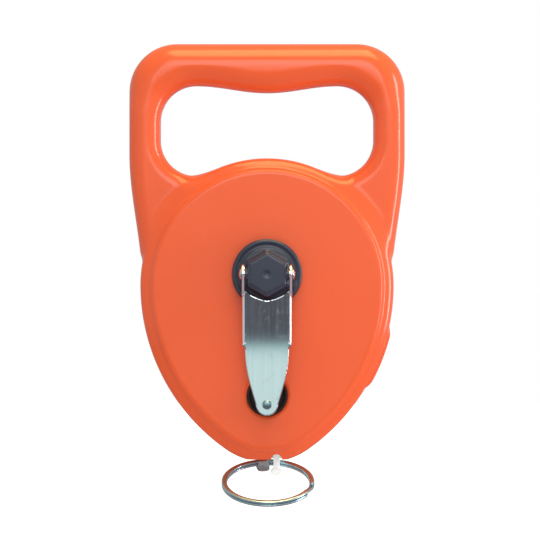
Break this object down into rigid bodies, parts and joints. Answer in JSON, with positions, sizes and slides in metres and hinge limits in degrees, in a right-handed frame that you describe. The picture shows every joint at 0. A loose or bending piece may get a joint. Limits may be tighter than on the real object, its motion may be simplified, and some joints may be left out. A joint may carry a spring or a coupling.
{
  "type": "surveyor tape reel",
  "caption": "Egg-shaped closed case with a carrying handle, a fold-over winding crank, an enclosed tape and an end ring at the nose.",
  "frame": {"origin": "where the drum's axis meets the flat back face", "axes": "+Z towards the handle, +Y out of the back face, so the crank faces -Y and its drum turns about Y"},
  "size_m": [0.138, 0.0564, 0.2307],
  "materials": {
    "orange_plastic": "moulded, satin gloss",
    "black_plastic": "moulded gloss",
    "chrome": "bright plated",
    "acetal": "machined",
    "grey_plastic": "moulded matt",
    "tape": "coated fibreglass",
    "white_nylon": "moulded satin",
    "steel": "zinc plated"
  },
  "bodies": {
    "case": {"front_shell": "orange_plastic", "rear_shell": "orange_plastic", "shell_screw_1": "steel", "shell_screw_2": "steel", "shell_screw_3": "steel", "shell_screw_4": "steel", "shell_screw_5": "steel", "shell_screw_6": "steel", "front_bush": "acetal", "rear_bush": "acetal", "knob_cup": "black_plastic", "mouth_liner": "steel", "roller_pin": "steel", "tape_lead_in": "tape"},
    "drum": {"spindle": "steel", "spool": "grey_plastic", "spool_front_flange": "grey_plastic", "tape_coil": "tape", "tape_anchor_pin": "steel", "drag_washer": "steel", "thrust_sleeve": "acetal", "crank_hub": "black_plastic", "hinge_pin": "steel"},
    "crank": {"crank_arm": "chrome", "knob_rivet": "steel", "knob_washer": "acetal"},
    "knob": {"crank_knob": "black_plastic"},
    "roller": {"guide_roller": "acetal"},
    "tape_end": {"tape_tongue": "tape", "end_tab": "white_nylon", "tab_rivet_1": "steel", "tab_rivet_2": "steel"},
    "ring": {"end_ring": "chrome"},
    "claw": {"ring_claw": "chrome"}
  },
  "joints": [
    {"name": "drum_spin", "type": "hinge", "parent": "case", "child": "drum", "pos_m": [0, -0.018, 0], "axis": [0, -1, 0], "continuous": true},
    {"name": "crank_fold", "type": "hinge", "parent": "drum", "child": "crank", "pos_m": [0, -0.048, 0], "axis": [-1, 0, 0], "range_deg": [0, 180]},
    {"name": "knob_spin", "type": "hinge", "parent": "crank", "child": "knob", "pos_m": [0, -0.041, -0.065], "axis": [0, -1, 0], "continuous": true},
    {"name": "roller_spin", "type": "hinge", "parent": "case", "child": "roller", "pos_m": [0.00863, -0.0158, -0.0575], "axis": [0, -1, 0], "continuous": true},
    {"name": "tape_pull", "type": "slide", "parent": "case", "child": "tape_end", "axis": [0, 0, -1], "range_m": [0, 0.025]},
    {"name": "ring_swing", "type": "hinge", "parent": "tape_end", "child": "ring", "pos_m": [0.0048, -0.0158, -0.0948], "axis": [1, 0, 0], "range_deg": [-10, 64]},
    {"name": "claw_swing", "type": "hinge", "parent": "ring", "child": "claw", "pos_m": [-0.0021, -0.01556, -0.09468], "axis": [0.9929, 0.1067, 0.052], "range_deg": [-30, 40]}
  ]
}
